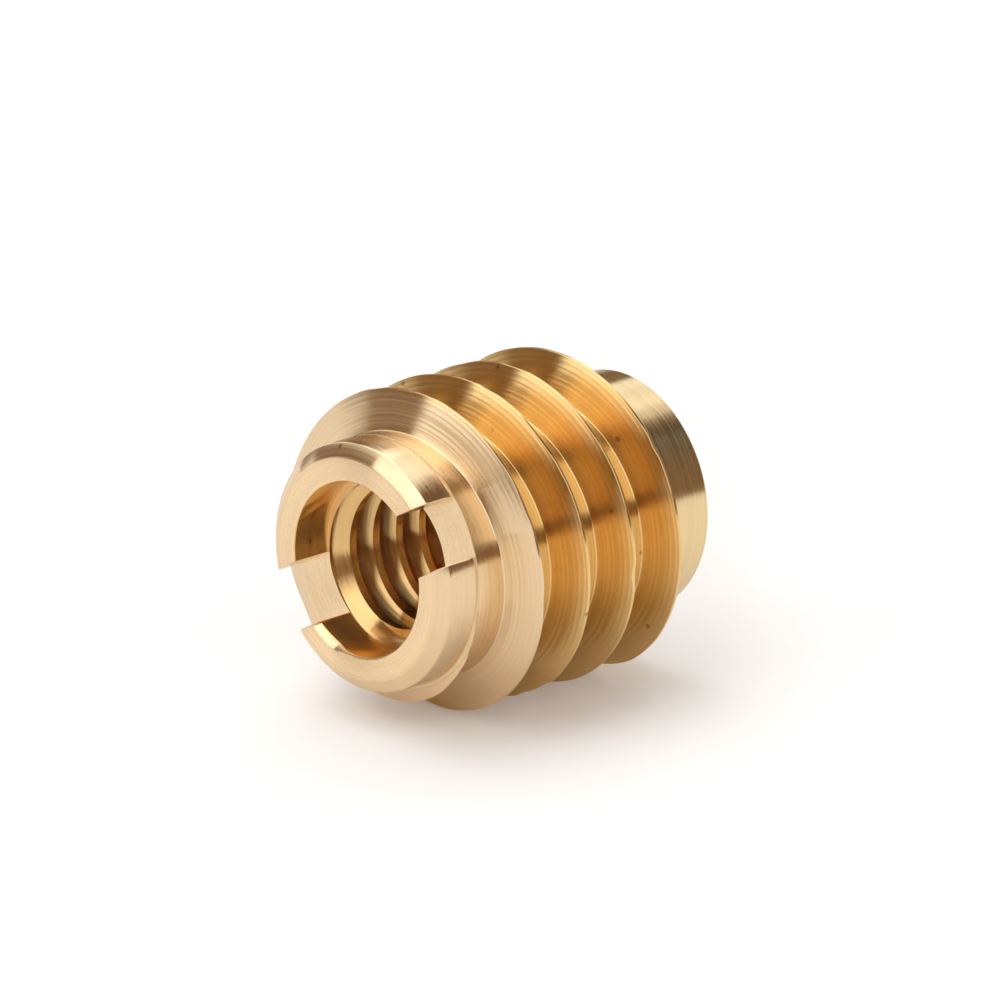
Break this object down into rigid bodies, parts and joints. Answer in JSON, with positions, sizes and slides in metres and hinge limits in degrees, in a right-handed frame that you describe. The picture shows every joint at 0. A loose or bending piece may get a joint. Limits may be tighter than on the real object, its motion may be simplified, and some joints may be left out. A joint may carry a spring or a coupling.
{
  "type": "threaded insert",
  "caption": "Turned brass sleeve for wood with a deep knife thread outside, a tapped bore and a screwdriver slot across its collar.",
  "frame": {"origin": "centre of the flat rear end, on the axis, where the insert stands", "axes": "+Z along the axis, out of the slotted end; the screwdriver slot runs along Y"},
  "size_m": [0.015, 0.015, 0.0165],
  "materials": {
    "brass": "bright as turned, with fine tool lines"
  },
  "bodies": {
    "root": {"insert": "brass"}
  },
  "joints": []
}
